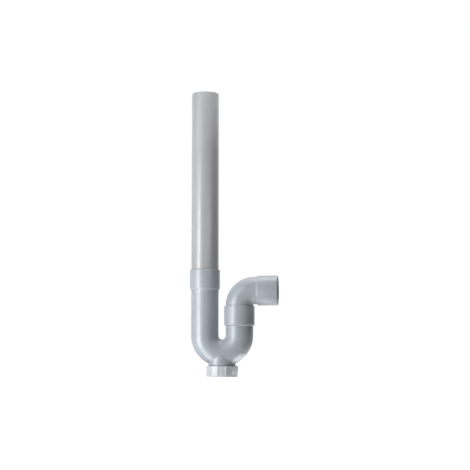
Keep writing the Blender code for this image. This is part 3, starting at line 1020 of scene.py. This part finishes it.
# %% Make the floor
FLOOR_SIZE, FLOOR_GAP = 12.0, 0.2 * MM
NEAR_LIFT, FAR_LIFT, MIRRORED = 0.62, 1.0, 0.25
LIFT_FROM, LIFT_TO = 0.15, 0.9
deselect()
bpy.ops.mesh.primitive_plane_add(size=FLOOR_SIZE, location=(0, 0, cap_low.z - FLOOR_GAP))
floor = bpy.context.object
floor.name = "studio_floor"
floor_finish = bpy.data.materials.new("pale_floor")
floor_finish.use_nodes = True
tree = floor_finish.node_tree
floor_feed = tree.nodes["Principled BSDF"].inputs
floor_feed["Base Color"].default_value = (0.8, 0.8, 0.8, 1)
floor_feed["Roughness"].default_value = 0.9
floor_feed["Specular IOR Level"].default_value = 0.1
floor_feed["Emission Color"].default_value = (1, 1, 1, 1)
measured = {0: object_place(tree)}
away = add_node(tree, "ShaderNodeVectorMath", {"operation": "LENGTH"}, measured).outputs["Value"]
path = add_node(tree, "ShaderNodeLightPath").outputs
seen = calc(tree, "MAXIMUM", path["Is Camera Ray"], path["Is Transmission Ray"])
seen = calc(tree, "MAXIMUM", seen, times(tree, path["Is Glossy Ray"], MIRRORED))
lift = times(tree, seen, ramp(tree, away, LIFT_FROM, LIFT_TO, NEAR_LIFT, FAR_LIFT))
tree.links.new(lift, floor_feed["Emission Strength"])
floor.data.materials.append(floor_finish)
print("floor lifted by", NEAR_LIFT, "near the part and", FAR_LIFT, "far from it")

# %% Make the world
AMBIENT = 0.01
SWEEP_TILT, SWEEP_FROM, SWEEP_TO = 0.8, 0.55, 0.9
world = bpy.data.worlds.new("studio")
bpy.context.scene.world = world
world.use_nodes = True
tree = world.node_tree
back = tree.nodes["Background"]
path = add_node(tree, "ShaderNodeLightPath").outputs
direction = add_node(tree, "ShaderNodeTexCoord").outputs["Generated"]
axes = axes_of(tree, direction)
behind = ramp(tree, calc(tree, "MULTIPLY_ADD", axes["Z"], SWEEP_TILT, axes["Y"]), SWEEP_FROM, SWEEP_TO)
mirrored = times(tree, path["Is Glossy Ray"], behind)
seen = calc(tree, "MAXIMUM", path["Is Camera Ray"], path["Is Transmission Ray"])
seen = calc(tree, "MAXIMUM", seen, mirrored)
back.inputs["Color"].default_value = (1, 1, 1, 1)
tree.links.new(calc(tree, "MAXIMUM", seen, AMBIENT), back.inputs["Strength"])
print("world lights the part with a strength of", AMBIENT)

# %% [markdown]
# ## Light
# A tall soft light left of the camera draws the long highlight down the pipe and leaves the right side dark.
# It gets weaker upwards and wider at the top, so it is built from four boxes rather than one. Two broad boxes
# overhead light the shoulders and the top of the elbow, and three small ones near the part stand for the
# light that the white table throws back up. A fourth, level with the pipe's upper part and turned up, is its
# fill there.

# %% Hang the lamps
VIEW_TURN, KEY_ANGLE, KEY_REACH = 6.0, 54, 1.2


def around(angle, distance, height):
    """A place on a circle round the part; angle 0 is in front, and it grows to the left of the camera."""
    turn = math.radians(angle - VIEW_TURN)
    return (-distance * math.sin(turn), -distance * math.cos(turn), height)


def soft_box(name, place, target, width, length, power, shape="RECTANGLE"):
    """An area lamp at a place, facing a target."""
    deselect()
    turned = (Vector(target) - Vector(place)).to_track_quat("-Z", "Y").to_euler()
    bpy.ops.object.light_add(type="AREA", location=place, rotation=turned)
    lamp = bpy.context.object
    lamp.name = lamp.data.name = name
    lamp.data.shape, lamp.data.size, lamp.data.size_y = shape, width, length
    lamp.data.energy = power
    print("lamp", name, "of", power, "W,", width, "by", length, "m")
    return lamp


for lamp_row in (
        ("key_low", around(KEY_ANGLE, KEY_REACH, 0.11), (0, 0, 0.11), 0.40, 0.22, 5.7),
        ("key_middle", around(KEY_ANGLE, KEY_REACH, 0.34), (0, 0, 0.34), 0.34, 0.24, 3.5),
        ("key_high", around(56, KEY_REACH, 0.90), (0, 0, 0.45), 0.44, 0.5, 3.3),
        ("key_wide", around(42, KEY_REACH, 0.35), (0, 0, 0.25), 0.20, 0.5, 1.9),
        ("top", (0.0, 0.2, 1.65), (0, 0, 0.15), 1.2, 1.2, 16.6),
        ("top_right", (1.0, 0.0, 1.5), (0, 0, 0.15), 0.8, 1.0, 4.0)):
    soft_box(*lamp_row)

# %% Set the small lamps near the part
for name, place, facing, width, length, power in (
        ("floor_glow", around(56, 0.20, 0.002), (0, 0, 1), 0.10, 0.24, 0.18),
        ("high_right", (0.35, -0.5, 0.26), (-0.2, 0.25, 0.94), 0.4, 0.4, 1.9),
        ("high_left", (-0.6, 0.0, 0.30), (0.35, 0, 0.94), 0.5, 0.5, 1.0),
        ("pipe_top", (0.20, -0.15, 0.33), (0, 0, 1), 0.1, 0.1, 0.8)):
    lamp = soft_box(name, place, Vector(place) + Vector(facing), width, length, power)
    lamp.visible_camera = False

# %% [markdown]
# ### Light that the table mirrors
# The bend's underside has a highlight that runs on from the pipe's, a small bright patch beside the cap, a
# thin line on the chamfer over it, and a pale edge under the outlet. All of them are the bright studio
# mirrored in a polished table. A glossy floor would mirror the part to the camera as well, and the photograph
# shows none of that. So thin lamps lie on the table instead, three of them in a row towards the key light and
# six on the right. They reach only the part's gloss: no camera ray and no diffuse surface sees them. One last
# faint lamp, under the cap, is light that the white table scatters right at its foot. It lights the cap's own
# chamfer.

# %% Lay the mirrored light on the table
OVER_TABLE, LOWER, UNDER_CAP = 2.0 * MM, 1.5 * MM, -0.1 * MM
for name, reach, width, length, power in (
        ("mirror_near", 0.0925, 0.034, 0.115, 0.09),
        ("mirror_middle", 0.20, 0.069, 0.10, 0.33),
        ("mirror_far", 0.35, 0.12, 0.20, 1.6)):
    place = Vector(around(KEY_ANGLE, reach, OVER_TABLE))
    lamp = soft_box(name, place, place + UP, width, length, power)
    lamp.rotation_euler = (math.pi, 0, math.radians(VIEW_TURN - KEY_ANGLE))
    lamp.visible_camera = lamp.visible_diffuse = False
for name, place, width, length, power in (
        ("mirror_spot", (0.040, -0.008, OVER_TABLE), 0.034, 0.034, 0.020),
        ("mirror_glow", (0.043, -0.017, LOWER), 0.10, 0.10, 0.045),
        ("mirror_edge", (0.052, 0.034, LOWER), 0.034, 0.034, 0.011),
        ("mirror_bend", (0.057, -0.008, LOWER), 0.036, 0.036, 0.011),
        ("mirror_right", (0.085, 0.065, LOWER), 0.09, 0.08, 0.035),
        ("mirror_back", (0.085, 0.205, LOWER), 0.10, 0.20, 0.05)):
    lamp = soft_box(name, place, Vector(place) + UP, width, length, power, "ELLIPSE")
    lamp.visible_camera = lamp.visible_diffuse = False
lamp = soft_box("foot_glow", (0, 0, UNDER_CAP), (0, 0, 1), 0.056, 0.056, 0.0018, "ELLIPSE")
lamp.visible_camera = False

# %% [markdown]
# ## Camera
# The lens and the place come from fitting the part's known sizes to its outlines in the photograph: a long
# lens, low down, turned six degrees round the part and looking slightly up.

# %% Set the camera
CAMERA_DISTANCE, CAMERA_Z = 1.5218, 0.05555
SENSOR, LENS = 36.0, 79.67
AIM = Vector((0.01893, 0, 0.20641))
turn = math.radians(VIEW_TURN)
eye = Vector((AIM.x + CAMERA_DISTANCE * math.sin(turn), -CAMERA_DISTANCE * math.cos(turn), CAMERA_Z))
deselect()
bpy.ops.object.camera_add(location=eye, rotation=(AIM - eye).to_track_quat("-Z", "Y").to_euler())
camera = bpy.context.object
camera.name = "photo_camera"
camera.data.sensor_width, camera.data.lens = SENSOR, LENS
bpy.context.scene.camera = camera
bpy.context.scene.view_settings.view_transform = "Standard"
print("camera", [round(part, 4) for part in eye], "lens", camera.data.lens)
